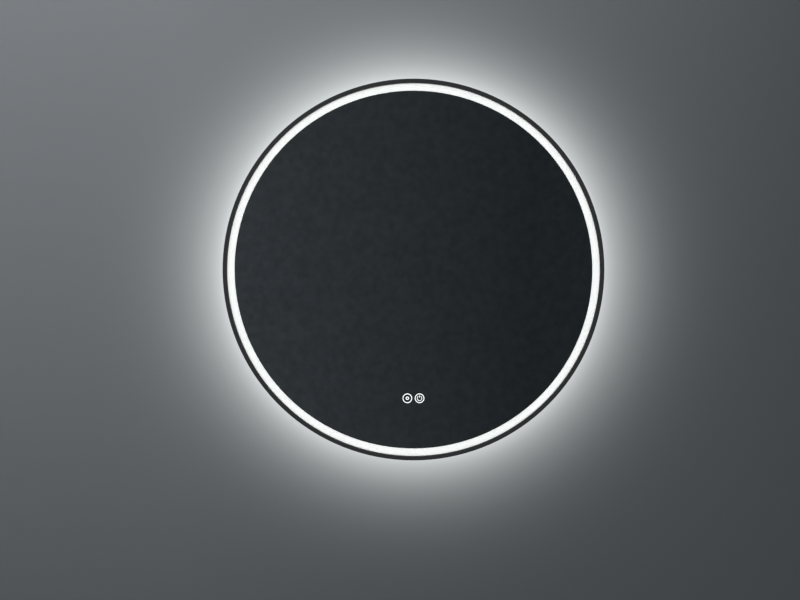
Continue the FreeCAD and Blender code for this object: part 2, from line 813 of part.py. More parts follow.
def rear_diffuser():
    """Opal sleeve round the dish wall, open towards it, with the rear strip inside."""
    body = new_body("rear_diffuser")
    inner, outer = "dish_r + board_gap", "dish_r + board_gap + sleeve_w"
    turned(body, [(inner, "sleeve_back"), (outer, "sleeve_back"), (outer, "rim_back"),
                  (inner, "rim_back"), (inner, "rim_back - sleeve_t"),
                  (f"{outer} - sleeve_t", "rim_back - sleeve_t"),
                  (f"{outer} - sleeve_t", "sleeve_back + sleeve_t"),
                  (inner, "sleeve_back + sleeve_t")])


# ---------------------------------------------------------------- behind the glass

def demister_pad():
    body = new_body("demister_pad")
    slab(body, "demister_back", "coat_back",
         lambda s: round_box(s, "0", "demister_y", "demister_w", "demister_l", "demister_round"))


def touch_sensor(name, x):
    """Moulded cup stuck behind one symbol, its lens on a step and its board on the floor."""
    y = "-icon_drop"
    body = new_body(name + "_touch_sensor")
    slab(body, "sensor_back", "coat_back",
         lambda s: box(s, f"{x} - sensor_w / 2", f"{x} + sensor_w / 2",
                       f"{y} - sensor_l / 2", f"{y} + sensor_l / 2"))
    cut(body, "lens_back", "coat_back", lambda s: circle(s, x, y, "lens_r + lens_gap"))
    cut(body, "sensor_front", "lens_back", lambda s: circle(s, x, y, "lens_r - lens_seat"))
    lens = new_body(name + "_icon_lens")
    slab(lens, "lens_back", "coat_back", lambda s: circle(s, x, y, "lens_r"))


def sensor_boards():
    body = new_body("sensor_boards")
    slab(body, "sensor_front", "sensor_front + sensor_board_t",
         lambda s: [circle(s, x, "-icon_drop", "lens_r - lens_seat - lens_gap")
                    for x in both_signs("icon_x")])


# ---------------------------------------------------------------- driver

def post_places():
    return [(f"driver_x + {x}", f"driver_y + {y}")
            for x in both_signs("posts_x") for y in both_signs("posts_y")]


def driver_case():
    """Open moulded case with screw posts in its corners and lead holes in its ends."""
    body = new_body("driver_case")
    inside = "driver_wall * 2"
    slab(body, "case_back", "case_front - driver_wall",
         lambda s: round_box(s, "driver_x", "driver_y", "driver_len", "driver_w", "driver_round"))
    cut(body, "case_back + driver_wall", "case_front - driver_wall",
        lambda s: round_box(s, "driver_x", "driver_y", f"driver_len - {inside}",
                            f"driver_w - {inside}", "driver_round - driver_wall"))
    slab(body, "case_back + driver_wall", "driver_board_z",
         lambda s: [circle(s, x, y, "post_r") for x, y in post_places()])
    for row in range(-2, 3):
        side_slot(body, f"driver_y + {row} * lead_pitch", "driver_left - 1")
    side_slot(body, "driver_y", "driver_right - driver_wall - 1")


def side_slot(body, y, start):
    """Hole for a lead through one end wall of the driver's case."""
    sketch = new_sketch(body, "YZ_Plane", start)
    circle(sketch, y, "lead_z", "lead_r + clip_gap")
    pocket(body, sketch, "driver_wall + 2", along=True)


def driver_cover():
    body = new_body("driver_cover")
    slab(body, "case_front - driver_wall", "case_front",
         lambda s: round_box(s, "driver_x", "driver_y", "driver_len", "driver_w", "driver_round"))
    cut(body, "case_front - driver_wall", "case_front",
        lambda s: [circle(s, x, y, "lid_screw_r + screw_gap") for x, y in post_places()])


def driver_cover_screws():
    """Long screws from the cover through the board into the case's posts."""
    body = new_body("driver_cover_screws")
    for start, end, radius in [("case_front", "case_front + lid_head_t", "lid_head_r"),
                               ("driver_board_z + driver_board_t", "case_front", "lid_screw_r")]:
        slab(body, start, end, lambda s, r=radius: [circle(s, x, y, r) for x, y in post_places()])


def driver_board():
    """Circuit board on the posts with its transformer and three capacitors."""
    body = new_body("driver_board")
    top = "driver_board_z + driver_board_t"
    half_len = "(driver_len / 2 - driver_wall - driver_board_gap)"
    half_w = "(driver_w / 2 - driver_wall - driver_board_gap)"
    slab(body, "driver_board_z", top,
         lambda s: box(s, f"driver_x - {half_len}", f"driver_x + {half_len}",
                       f"driver_y - {half_w}", f"driver_y + {half_w}"))
    slab(body, top, f"{top} + coil_t",
         lambda s: box(s, "driver_x - coil_len / 2", "driver_x + coil_len / 2",
                       "driver_y - coil_w / 2", "driver_y + coil_w / 2"))
    slab(body, top, f"{top} + coil_t",
         lambda s: [circle(s, "driver_x + can_x", f"driver_y + {row} * can_pitch", "can_r")
                    for row in (-1, 0, 1)])


def driver_tape():
    body = new_body("driver_tape")
    slab(body, "pan_front", "case_back",
         lambda s: box(s, "driver_left + driver_tape_inset", "driver_right - driver_tape_inset",
                       "driver_y - driver_w / 2 + driver_tape_inset",
                       "driver_y + driver_w / 2 - driver_tape_inset"))


# ---------------------------------------------------------------- terminal box, supply entry, earth

def boss_places():
    return [("terminal_x - boss_x", "terminal_y + boss_y"),
            ("terminal_x + boss_x", "terminal_y - boss_y")]


def terminal_base():
    """Base plate with the terminal block and two screw bosses."""
    body = new_body("terminal_base")
    slab(body, "pan_front", "base_front",
         lambda s: round_box(s, "terminal_x", "terminal_y", "terminal_w", "terminal_l",
                             "terminal_round"))
    slab(body, "base_front", "base_front + block_t",
         lambda s: box(s, "terminal_x - block_w / 2", "terminal_x + block_w / 2",
                       "terminal_y - block_l / 2", "terminal_y + block_l / 2"))
    slab(body, "base_front", "cover_front - terminal_wall - boss_clear",
         lambda s: [circle(s, x, y, "boss_r") for x, y in boss_places()])
    cut(body, "base_front + block_t / 2", "base_front + block_t",
        lambda s: [circle(s, f"terminal_x + {pole} * pole_pitch", "terminal_y", "pole_r")
                   for pole in (-1, 0, 1)])
    cut(body, "base_front", "cover_front - terminal_wall - boss_clear",
        lambda s: [circle(s, x, y, "lid_screw_r + thread_gap") for x, y in boss_places()])
    for y in both_signs("tether_y"):
        cut(body, "pan_front", "base_front",
            lambda s, y=y: circle(s, "terminal_x", f"terminal_y + {y}", "rivet_r + screw_gap"))


def terminal_cover():
    """Box cover over the terminals, with a notch towards the driver and one towards the supply."""
    body = new_body("terminal_cover")
    inside = "2 * terminal_wall"
    slab(body, "base_front", "cover_front",
         lambda s: round_box(s, "terminal_x", "terminal_y", "terminal_w", "terminal_l",
                             "terminal_round"))
    cut(body, "base_front", "cover_front - terminal_wall",
        lambda s: round_box(s, "terminal_x", "terminal_y", f"terminal_w - {inside}",
                            f"terminal_l - {inside}", "terminal_round - terminal_wall"))
    cut(body, "cover_front - terminal_wall", "cover_front",
        lambda s: [circle(s, x, y, "lid_screw_r + screw_gap") for x, y in boss_places()])
    cut(body, "base_front", "lead_z + lead_r + clip_gap",
        lambda s: box(s, "terminal_left - 1", "terminal_left + terminal_wall + 1",
                      "terminal_y - lead_r - clip_gap", "terminal_y + lead_r + clip_gap"))
    cut(body, "base_front", "base_front + block_t / 2",
        lambda s: box(s, "terminal_x - entry_w / 2", "terminal_x + entry_w / 2",
                      "terminal_y - terminal_l / 2 - 1",
                      "terminal_y - terminal_l / 2 + terminal_wall + 1"))


def terminal_screws():
    body = new_body("terminal_screws")
    for start, end, radius in [("cover_front", "cover_front + lid_head_t", "lid_head_r"),
                               ("cover_front - terminal_wall - lid_bite", "cover_front", "lid_screw_r")]:
        slab(body, start, end, lambda s, r=radius: [circle(s, x, y, r) for x, y in boss_places()])


def terminal_rivets():
    body = new_body("terminal_rivets")
    for y in both_signs("tether_y"):
        rivet(body, "terminal_x", f"terminal_y + {y}", "stand_off", "base_front")


def cable_grommet():
    """Rubber bush snapped in the pan, with a sleeve towards the terminals."""
    body = new_body("cable_grommet")
    neck = "grommet_neck - grommet_gap"
    sleeve_end = "pan_front + grommet_lip + grommet_sleeve"
    drawn = [("grommet_r", "stand_off - grommet_lip", "stand_off"), (neck, "stand_off", "pan_front"),
             ("grommet_r", "pan_front", "pan_front + grommet_lip"),
             ("grommet_bore + grommet_wall", "pan_front + grommet_lip", sleeve_end)]
    for radius, start, end in drawn:
        slab(body, start, end, lambda s, r=radius: circle(s, "terminal_x", "grommet_y", r))
    cut(body, "stand_off - grommet_lip", sleeve_end,
        lambda s: circle(s, "terminal_x", "grommet_y", "grommet_bore"))


def earth_parts():
    """Stud welded to the pan, with a ring lug under a nut."""
    stud = new_body("earth_stud")
    slab(stud, "pan_front", "pan_front + stud_len",
         lambda s: circle(s, "earth_x", "earth_y", "stud_r"))
    lug = new_body("earth_lug")
    slab(lug, "pan_front", "pan_front + lug_t", lambda s: circle(s, "earth_x", "earth_y", "lug_r"))
    slab(lug, "pan_front", "lead_z + crimp_w / 2",
         lambda s: box(s, "earth_x + lug_r - lug_t / 2", "earth_x + lug_r + crimp_len",
                       "earth_y - crimp_w / 2", "earth_y + crimp_w / 2"))
    cut(lug, "pan_front", "pan_front + lug_t",
        lambda s: circle(s, "earth_x", "earth_y", "stud_r + stud_gap"))
    nut = new_body("earth_nut")
    corner = "(nut_flats / sqrt(3))"
    six = [(f"earth_x + {corner} * cos({turn} deg)", f"earth_y + {corner} * sin({turn} deg)")
           for turn in range(30, 390, 60)]
    slab(nut, "pan_front + lug_t", "pan_front + lug_t + nut_t", lambda s: outline(s, six))
    cut(nut, "pan_front + lug_t", "pan_front + lug_t + nut_t",
        lambda s: circle(s, "earth_x", "earth_y", "stud_r + stud_gap"))


# ---------------------------------------------------------------- leads and clips

def lead(label, points):
    """Many-sided lead along straight runs joined by tangent arcs.

    Its volume is checked against its section times its length.
    """
    places = [Vector(*(value(item) for item in point)) for point in points]
    radius, bend, sides = value("lead_r"), value("lead_bend"), round(value("lead_sides"))
    edges = []
    start = places[0]
    for before, corner, after in zip(places, places[1:], places[2:]):
        back = (before - corner).normalize()
        ahead = (after - corner).normalize()
        half = back.getAngle(ahead) / 2
        reach = bend / math.tan(half)
        middle = corner + (back + ahead).normalize() * (bend / math.sin(half) - bend)
        edges.append(Part.LineSegment(start, corner + back * reach).toShape())
        edges.append(Part.Arc(corner + back * reach, middle, corner + ahead * reach).toShape())
        start = corner + ahead * reach
    edges.append(Part.LineSegment(start, places[-1]).toShape())
    path = Part.Wire(edges)
    rim = Part.makeCircle(radius, places[0], places[1] - places[0])
    end = Part.makePolygon(rim.discretize(sides + 1))
    tube = path.makePipeShell([end], True, False)
    if abs(tube.Volume / (Part.Face(end).Area * path.Length) - 1) > TUBE_SHARE:
        raise ValueError(label + ": the tube is not its section times its length")
    piece = doc.addObject("Part::Feature", label)
    piece.Shape = tube
    stand_up(piece)


def leads():
    row = "driver_y + {} * lead_pitch"
    flat = "lead_z"
    into_case = "driver_left + driver_wall"

    def left_of_ring(radius, y):
        """X where a lead at this height first meets the left side of a ring."""
        return f"-sqrt(({radius}) ^ 2 - (abs({y}) + lead_r) ^ 2)"

    lead("demister_lead", [(into_case, row.format(2), flat), ("turn_x", row.format(2), flat),
                           ("turn_x", "demister_y", flat), ("turn_x", "demister_y", "demister_back")])
    lead("rear_strip_lead", [(into_case, row.format(1), flat),
                             (left_of_ring("rear_board_r - thread_gap", row.format(1)),
                              row.format(1), flat)])
    lead("front_strip_lead", [(into_case, row.format(0), flat), ("-front_rise", row.format(0), flat),
                              ("-front_rise", row.format(0), "front_strip_z"),
                              (left_of_ring("front_board_r - thread_gap", row.format(0)),
                               row.format(0), "front_strip_z")])
    lead("light_sensor_lead", [(into_case, row.format(-1), flat),
                               ("turn_x - lead_pitch", row.format(-1), flat),
                               ("turn_x - lead_pitch", "-icon_drop - sensor_turn", flat),
                               ("icon_x", "-icon_drop - sensor_turn", flat),
                               ("icon_x", "-icon_drop - sensor_turn", "sensor_back")])
    lead("demister_sensor_lead", [(into_case, row.format(-2), flat), ("turn_x", row.format(-2), flat),
                                  ("turn_x", "-icon_drop + sensor_turn", flat),
                                  ("-icon_x", "-icon_drop + sensor_turn", flat),
                                  ("-icon_x", "-icon_drop + sensor_turn", "sensor_back")])
    lead("mains_lead", [("terminal_x - block_w / 2", "terminal_y", flat),
                        ("driver_right - driver_wall", "driver_y", flat)])
    lead("earth_lead", [("terminal_x - block_w / 2 + lead_pitch", "terminal_y - block_l / 2", flat),
                        ("terminal_x - block_w / 2 + lead_pitch", "earth_y", flat),
                        ("earth_x + lug_r + crimp_len", "earth_y", flat)])


def clip(body, x, y, width, lead_places, across):
    """Saddle on the pan's floor with a hole for each lead; across tells that they run along Y."""
    size_x = (width, "clip_len") if across else ("clip_len", width)
    slab(body, "pan_front", "lead_z + lead_r + clip_wall",
         lambda s: box(s, f"{x} - ({size_x[0]}) / 2", f"{x} + ({size_x[0]}) / 2",
                       f"{y} - ({size_x[1]}) / 2", f"{y} + ({size_x[1]}) / 2"))
    if across:
        sketch = new_sketch(body, "XZ_Plane", f"-({y}) - ({size_x[1]}) / 2 - 1")
    else:
        sketch = new_sketch(body, "YZ_Plane", f"{x} - ({size_x[0]}) / 2 - 1")
    for place in lead_places:
        circle(sketch, place, "lead_z", "lead_r + clip_gap")
    pocket(body, sketch, "clip_len + 2", along=True)


def lead_clips():
    body = new_body("lead_clips")
    margin = "2 * (lead_r + clip_wall)"
    row = "driver_y + {} * lead_pitch"
    clip(body, "turn_x - clip_left", row.format("0.5"), f"lead_pitch + {margin}",
         [row.format(0), row.format(1)], False)
    clip(body, "-front_rise + clip_left", row.format("0.5"), f"lead_pitch + {margin}",
         [row.format(0), row.format(1)], False)
    clip(body, "turn_x - lead_pitch / 2", "-icon_drop + clip_low", f"lead_pitch + {margin}",
         ["turn_x - lead_pitch", "turn_x"], True)
    clip(body, "-clip_low", "-icon_drop", f"2 * sensor_turn + {margin}",
         ["-icon_drop - sensor_turn", "-icon_drop + sensor_turn"], False)
    clip(body, "turn_x", "demister_y - clip_left", margin, ["turn_x"], True)


# ---------------------------------------------------------------- build

wall_rail()
frame_ring()
frame_splice()
splice_screws()
lip_tape()
mirror_glass()
silver_coating()
front_diffuser()
reflector_ring()
led_board("front_led_board", "front_board_r", "front_strip_z", "front_board_w")
led_row("front_leds", "front_board_r - front_led_t", "front_board_r - thread_gap", "front_strip_z",
        "front_led_w", "front_leds")
rear_pan()
pan_screws()
hanger_bracket()
hanger_rivets()
wall_bumpers()
led_board("rear_led_board", "rear_board_r", "rear_strip_z", "rear_board_w")
led_row("rear_leds", "rear_board_r + board_t", "rear_board_r + board_t + rear_led_t", "rear_strip_z",
        "rear_led_w", "rear_leds")
rear_diffuser()
demister_pad()
touch_sensor("demister", "-icon_x")
touch_sensor("light", "icon_x")
sensor_boards()
driver_case()
driver_cover()
driver_cover_screws()
driver_board()
driver_tape()
terminal_base()
terminal_cover()
terminal_screws()
terminal_rivets()
cable_grommet()
earth_parts()
leads()
lead_clips()
doc.recompute()

for item in doc.Objects:
    if "Invalid" in item.State or "Error" in item.State:
        raise RuntimeError(f"{item.Label}: {item.State}")
for piece in nodes:
    if piece.Shape.isNull() or not piece.Shape.isValid():
        raise RuntimeError(piece.Label + " has no valid shape")

os.makedirs("parts", exist_ok=True)
for piece in nodes:
    piece.Shape.exportStep(os.path.join("parts", piece.Label + ".step"))
    solids = piece.Shape.Solids
    print(f"{piece.Label}: {len(solids)} solids, {sum(solid.Volume for solid in solids):.1f} mm3")
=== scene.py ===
"""Finishes, small parts and a studio for a round lighted mirror, on its packed construction model."""

import math

import bmesh
import bpy
from bpy.props import FloatProperty, FloatVectorProperty, IntProperty, PointerProperty
from mathutils import Matrix, Vector


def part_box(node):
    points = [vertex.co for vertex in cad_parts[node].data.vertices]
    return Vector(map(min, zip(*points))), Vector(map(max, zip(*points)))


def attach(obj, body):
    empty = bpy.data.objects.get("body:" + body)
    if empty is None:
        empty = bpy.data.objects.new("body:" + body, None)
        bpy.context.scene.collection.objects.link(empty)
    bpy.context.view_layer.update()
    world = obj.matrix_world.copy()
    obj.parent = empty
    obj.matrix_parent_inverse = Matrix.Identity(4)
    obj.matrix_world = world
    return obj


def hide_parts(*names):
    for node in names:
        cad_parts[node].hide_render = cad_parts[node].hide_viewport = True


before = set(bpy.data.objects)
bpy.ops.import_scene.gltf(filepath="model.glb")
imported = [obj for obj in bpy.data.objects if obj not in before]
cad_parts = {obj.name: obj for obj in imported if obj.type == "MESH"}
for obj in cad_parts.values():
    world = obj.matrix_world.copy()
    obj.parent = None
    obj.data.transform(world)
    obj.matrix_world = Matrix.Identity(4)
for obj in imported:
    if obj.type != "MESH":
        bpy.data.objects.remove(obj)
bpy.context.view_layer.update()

bl_info = {
    "name": "Lighted Mirror",
    "version": (1, 0, 0),
    "blender": (4, 5, 0),
    "location": "View3D > Sidebar > Mirror",
    "description": "Finishes, small parts and a studio for a round lighted mirror",
    "category": "Object",
}

# The construction model's own box, and the mirror's round outline in it.
RING_LOW, RING_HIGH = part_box("frame_ring")
AXIS = Vector(((RING_LOW.x + RING_HIGH.x) / 2, 0, (RING_LOW.z + RING_HIGH.z) / 2))
OUTER_R = (RING_HIGH.x - RING_LOW.x) / 2

# The picture's frame, and where the outline stands in it.
PICTURE = (800, 600)
OUTLINE_CENTRE = (413.5, 269.5)
OUTLINE_WIDTH = 382.0

# The backdrop: its width, how far it rises above the mirror's centre and its gap to the mirror.
WALL_WIDTH, WALL_RISE, WALL_GAP = 2.3, 0.95, 0.0006
# Where on it, across and up, the painted light is gone, and where it is whole: the backdrop's colour is
# painted darker towards its lower right and lighter towards its upper left, as the light falls.
WALL_PAINTED_SHADE_AT, WALL_PAINTED_LIGHT_AT = (1.06, -1.42), (-0.51, 0.69)

# Each lamp's name, place, width and power. All face the mirror's centre.
LAMPS = (("key_lamp", (-3.0, -3.0, 1.5), 2.2, 80),
         ("fill_lamp", (3.2, -2.8, 0.9), 2.4, 45),
         ("top_lamp", (0.0, -0.9, 2.6), 1.8, 30),
         ("left_back_lamp", (-2.6, 3.0, 1.6), 4.8, 70),
         ("right_back_lamp", (2.6, 3.0, 1.0), 4.8, 50))


def srgb(text):
    """A hex colour as the linear values that a shader takes."""
    parts = [int(text[start:start + 2], 16) / 255 for start in (1, 3, 5)]
    linear = [part / 12.92 if part <= 0.04045 else ((part + 0.055) / 1.055) ** 2.4 for part in parts]
    return (*linear, 1.0)


# ---------------------------------------------------------------- materials

def new_material(name):
    """A material with no nodes but Texture Coordinate: itself, its tree and its Object coordinates."""
    material = bpy.data.materials.new(name)
    material.use_nodes = True
    tree = material.node_tree
    tree.nodes.clear()
    return material, tree, add(tree, "ShaderNodeTexCoord").outputs["Object"]


def add(tree, kind, inputs=None, **settings):
    """Add a node. An input takes a plain value, a socket, or the first output of a node."""
    node = tree.nodes.new(kind)
    for name, value in settings.items():
        setattr(node, name, value)
    for name, value in (inputs or {}).items():
        source = value.outputs[0] if isinstance(value, bpy.types.Node) else value
        if isinstance(source, bpy.types.NodeSocket):
            tree.links.new(source, node.inputs[name])
        else:
            node.inputs[name].default_value = source
    return node


def grains(millimetres):
    """Scale at which one grain of a noise, or one brick, is this wide, on coordinates in metres."""
    return 500 / millimetres


def outside(tree, place):
    """How far a place is outside the mirror's round outline, in metres."""
    flat = add(tree, "ShaderNodeVectorMath", {0: place, 1: (1, 0, 1)}, operation="MULTIPLY")
    away = add(tree, "ShaderNodeVectorMath", {0: flat, 1: AXIS}, operation="DISTANCE")
    return add(tree, "ShaderNodeMath", {0: away.outputs["Value"], 1: OUTER_R}, operation="SUBTRACT")


def close(tree, tones, mottle, gloss, rub=None, relief=None, **plain):
    """End a material: its colour runs between two tones and its roughness between two values.

    Mottle and rub are the patterns that they follow. Without rub, gloss is one roughness.
    The relief is a height and how many millimetres it stands for.
    """
    colour = add(tree, "ShaderNodeMix", {"Factor": mottle, 6: srgb(tones[0]), 7: srgb(tones[1])},
                 data_type="RGBA")
    inputs = {"Base Color": colour.outputs[2], "Roughness": gloss}
    if rub is not None:
        smooth, rough = gloss
        inputs["Roughness"] = add(tree, "ShaderNodeMapRange", {
            "Value": rub, "From Min": 0.3, "From Max": 0.7, "To Min": smooth, "To Max": rough})
    if relief:
        height, depth = relief
        inputs["Normal"] = add(tree, "ShaderNodeBump", {"Height": height, "Distance": depth / 1000})
    for name, value in plain.items():
        inputs[name.replace("_", " ")] = value
    shader = add(tree, "ShaderNodeBsdfPrincipled", inputs)
    add(tree, "ShaderNodeOutputMaterial", {"Surface": shader})


def powder_coat():
    """Black polyester powder, sprayed on aluminium and baked.

    It looks nearly black, with an orange peel that breaks its soft sheen up. The peel is drawn
    at 1.6 mm, some four times too coarse, so that it still shows close by.
    """
    material, tree, place = new_material("black_powder_coat")
    peel = add(tree, "ShaderNodeTexNoise", {"Vector": place, "Scale": grains(1.6), "Detail": 3.0})
    film = add(tree, "ShaderNodeTexNoise", {"Vector": place, "Scale": grains(50)})
    close(tree, ("#18191a", "#212325"), film, (0.36, 0.5), peel, (peel, 0.03), IOR=1.5)
    return material


def float_glass():
    """Float glass, 4 mm, cut round and arrissed: clear, with the faint green of iron in it."""
    material, tree, place = new_material("clear_float_glass")
    tint = add(tree, "ShaderNodeTexNoise", {"Vector": place, "Scale": grains(150), "Detail": 1.0})
    close(tree, ("#f7fbf9", "#fafdfc"), tint, 0.0, IOR=1.52, Transmission_Weight=1.0)
    return material


def silvering():
    """Silver deposited on the glass from solution: a clear cold mirror, with faint wiping marks."""
    material, tree, place = new_material("deposited_silver")
    drawn = add(tree, "ShaderNodeMapping", {"Vector": place, "Scale": (1, 1, 0.35)})
    wipe = add(tree, "ShaderNodeTexNoise", {"Vector": drawn, "Scale": grains(70), "Detail": 4.0})
    close(tree, ("#e4e8ea", "#eceff0"), wipe, (0.004, 0.014), wipe, Metallic=1.0)
    return material


def lit_opal(name, colour, strength, lit=None):
    """Opal acrylic, extruded or moulded, with lamps behind it: even milky light under a soft gloss.

    A ring may be lit only between two distances inside the mirror's outline. Its light then ends
    within half a millimetre, short of the edges that hold it, and the unlit rims beside the frame's lip
    and the silvering are painted shade.
    """
    material, tree, place = new_material(name)
    milk = add(tree, "ShaderNodeTexNoise", {"Vector": place, "Scale": grains(8)})
    glow = (*colour, 1.0)
    if lit:
        near, far = lit
        half, fade = (far - near) / 2, 0.00025
        inside = add(tree, "ShaderNodeMath", {0: outside(tree, place), 1: near + half}, operation="ADD")
        off = add(tree, "ShaderNodeMath", {0: inside}, operation="ABSOLUTE")
        # Painted shade: the light is cut off at both rims of the ring, beside the lip and the silvering.
        painted_rim_shade = add(tree, "ShaderNodeMapRange", {"Value": off, "From Min": half - fade,
                                                 "From Max": half + fade})
        glow = add(tree, "ShaderNodeMix", {"Factor": painted_rim_shade, 6: glow, 7: (0, 0, 0, 1)},
                   data_type="RGBA").outputs[2]
    close(tree, ("#dcdedd", "#e6e7e6"), milk, (0.3, 0.4), milk, IOR=1.49, Emission_Color=glow,
          Emission_Strength=strength)
    return material


def white_enamel():
    """White stoving enamel on sheet steel: bright and glossy, so it throws the strip's light out."""
    material, tree, place = new_material("white_stoving_enamel")
    peel = add(tree, "ShaderNodeTexNoise", {"Vector": place, "Scale": grains(2), "Detail": 3.0})
    close(tree, ("#e6e7e5", "#f0f0ee"), peel, (0.18, 0.3), peel, (peel, 0.03), IOR=1.5)
    return material


def galvanised():
    """Hot-dip galvanised sheet, pressed: zinc crystals of 3 to 12 mm that differ in tone and gloss."""
    material, tree, place = new_material("galvanised_sheet")
    bent = add(tree, "ShaderNodeTexNoise", {"Vector": place, "Scale": grains(5), "Detail": 2.0})
    warped = add(tree, "ShaderNodeVectorMath", {0: bent.outputs["Color"], "Scale": 0.004},
                 operation="SCALE")
    shifted = add(tree, "ShaderNodeVectorMath", {0: place, 1: warped}, operation="ADD")
    crystal = add(tree, "ShaderNodeTexVoronoi", {"Vector": shifted, "Scale": 1000 / 7})
    shade = add(tree, "ShaderNodeSeparateColor", {"Color": crystal.outputs["Color"]})
    fine = add(tree, "ShaderNodeTexNoise", {"Vector": place, "Scale": grains(1.2), "Detail": 3.0})
    close(tree, ("#a3a8aa", "#b5babc"), shade.outputs["Red"], (0.3, 0.46), shade.outputs["Green"],
          (fine, 0.02), Metallic=1.0)
    return material


def zinc_plate(name, tones):
    """Steel, pressed or cold headed, then bright zinc plated: a bluish gloss with fine draw lines."""
    material, tree, place = new_material(name)
    drawn = add(tree, "ShaderNodeMapping", {"Vector": place, "Scale": (0.06, 1, 1)})
    lines = add(tree, "ShaderNodeTexNoise", {"Vector": drawn, "Scale": grains(0.9), "Detail": 3.0})
    cloud = add(tree, "ShaderNodeTexNoise", {"Vector": place, "Scale": grains(12), "Detail": 3.0})
    close(tree, tones, cloud, (0.2, 0.38), lines, (lines, 0.015), Metallic=1.0)
    return material


def mill_aluminium():
    """Aluminium bar as drawn: pale, with lines along the bar."""
    material, tree, place = new_material("mill_aluminium")
    drawn = add(tree, "ShaderNodeMapping", {"Vector": place, "Scale": (0.04, 1, 1)})
    lines = add(tree, "ShaderNodeTexNoise", {"Vector": drawn, "Scale": grains(0.6), "Detail": 3.0})
    close(tree, ("#c1c3c5", "#d4d6d7"), lines, (0.24, 0.42), lines, Metallic=1.0)
    return material


def rubber():
    """Nitrile rubber, moulded: dull black with a dusty bloom."""
    material, tree, place = new_material("black_nitrile_rubber")
    bloom = add(tree, "ShaderNodeTexNoise", {"Vector": place, "Scale": grains(2.5), "Detail": 4.0})
    close(tree, ("#151515", "#272727"), bloom, (0.66, 0.86), bloom, (bloom, 0.06), IOR=1.52)
    return material


def foam_tape():
    """Polyethylene foam tape, slit from a sheet: matt, with open cells of about half a millimetre."""
    material, tree, place = new_material("foam_tape")
    cells = add(tree, "ShaderNodeTexVoronoi", {"Vector": place, "Scale": 1000 / 0.6})
    close(tree, ("#1c1d1e", "#303132"), cells, (0.8, 0.95), cells, (cells, 0.15), IOR=1.5)
    return material


def moulding(name, tones):
    """ABS, injection moulded: the satin grain that a spark-eroded tool leaves."""
    material, tree, place = new_material(name)
    grain = add(tree, "ShaderNodeTexNoise", {"Vector": place, "Scale": grains(0.7), "Detail": 3.0})
    cloud = add(tree, "ShaderNodeTexNoise", {"Vector": place, "Scale": grains(25)})
    close(tree, tones, cloud, (0.4, 0.55), grain, (grain, 0.03), IOR=1.53)
    return material


def circuit_board(name, tones):
    """Glass-epoxy laminate under solder mask: glossy, with copper tracks 1.25 mm apart showing."""
    material, tree, place = new_material(name)
    turned = add(tree, "ShaderNodeMapping", {"Vector": place, "Rotation": (math.pi / 2, 0, 0)})
    tracks = add(tree, "ShaderNodeTexBrick", {"Vector": turned, "Scale": grains(2.5),
                                              "Mortar Size": 0.04})
    mask = add(tree, "ShaderNodeTexNoise", {"Vector": place, "Scale": grains(2)})
    close(tree, tones, tracks.outputs["Fac"], (0.25, 0.4), mask, (tracks.outputs["Fac"], 0.05), IOR=1.55)
    return material


def phosphor():
    """Silicone with yellow phosphor, cast over the chips, and lit: warm cream with a fine grain."""
    material, tree, place = new_material("led_phosphor")
    grain = add(tree, "ShaderNodeTexNoise", {"Vector": place, "Scale": grains(0.3)})
    close(tree, ("#e3cb62", "#f3e290"), grain, (0.35, 0.5), grain, IOR=1.41,
          Emission_Color=srgb("#fff4dc"), Emission_Strength=1.2)
    return material


def heating_film():
    """Polyester film, laminated over a printed track: silvery lines about 12 mm apart under a gloss."""
    material, tree, place = new_material("demister_film")
    # The node draws a line every pi / 10 units, which is 11.8 mm at this scale.
    track = add(tree, "ShaderNodeTexWave", {"Vector": place, "Scale": 1000 / 12 / math.pi},
                bands_direction="Z")
    skin = add(tree, "ShaderNodeTexNoise", {"Vector": place, "Scale": grains(6)})
    close(tree, ("#aaa79d", "#dad8d1"), track.outputs["Fac"], (0.26, 0.4), skin,
          (track.outputs["Fac"], 0.08), IOR=1.57)
    return material


def bare_metal(name, tones):
    """Brass or tinned copper, turned or stamped, slightly dulled by handling."""
    material, tree, place = new_material(name)
    dull = add(tree, "ShaderNodeTexNoise", {"Vector": place, "Scale": grains(2.5), "Detail": 3.0})
    close(tree, tones, dull, (0.22, 0.4), dull, Metallic=1.0)
    return material


def sheath(name, tones):
    """PVC sheath, extruded over wire: smooth, with slow ripples that follow the strands below."""
    material, tree, place = new_material(name)
    ripple = add(tree, "ShaderNodeTexNoise", {"Vector": place, "Scale": grains(3.5)})
    close(tree, tones, ripple, (0.3, 0.45), ripple, (ripple, 0.08), IOR=1.53)
    return material


def finish_nodes(material, *nodes):
    """Give construction nodes their finish."""
    for node in nodes:
        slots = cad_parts[node].data.materials
        slots.clear()
        slots.append(material)


# ---------------------------------------------------------------- shapes

def lathe(bm, profile, steps):
    """Spin (radius, y) points about the Y axis. Points on the axis become one pole."""
    verts = [bm.verts.new((radius, y, 0)) for radius, y in profile]
    edges = [bm.edges.new(pair) for pair in zip(verts, verts[1:])]
    bmesh.ops.spin(bm, geom=verts + edges, cent=(0, 0, 0), axis=(0, 1, 0), angle=2 * math.pi,
                   steps=steps, use_merge=True)
    bmesh.ops.remove_doubles(bm, verts=bm.verts, dist=1e-7)


def arc(centre, radii, first, last, steps):
    """Points on a quarter of an ellipse, from one angle to another in degrees."""
    turns = [math.radians(first + (last - first) * step / steps) for step in range(steps + 1)]
    return [(centre[0] + radii[0] * math.cos(turn), centre[1] + radii[1] * math.sin(turn))
            for turn in turns]


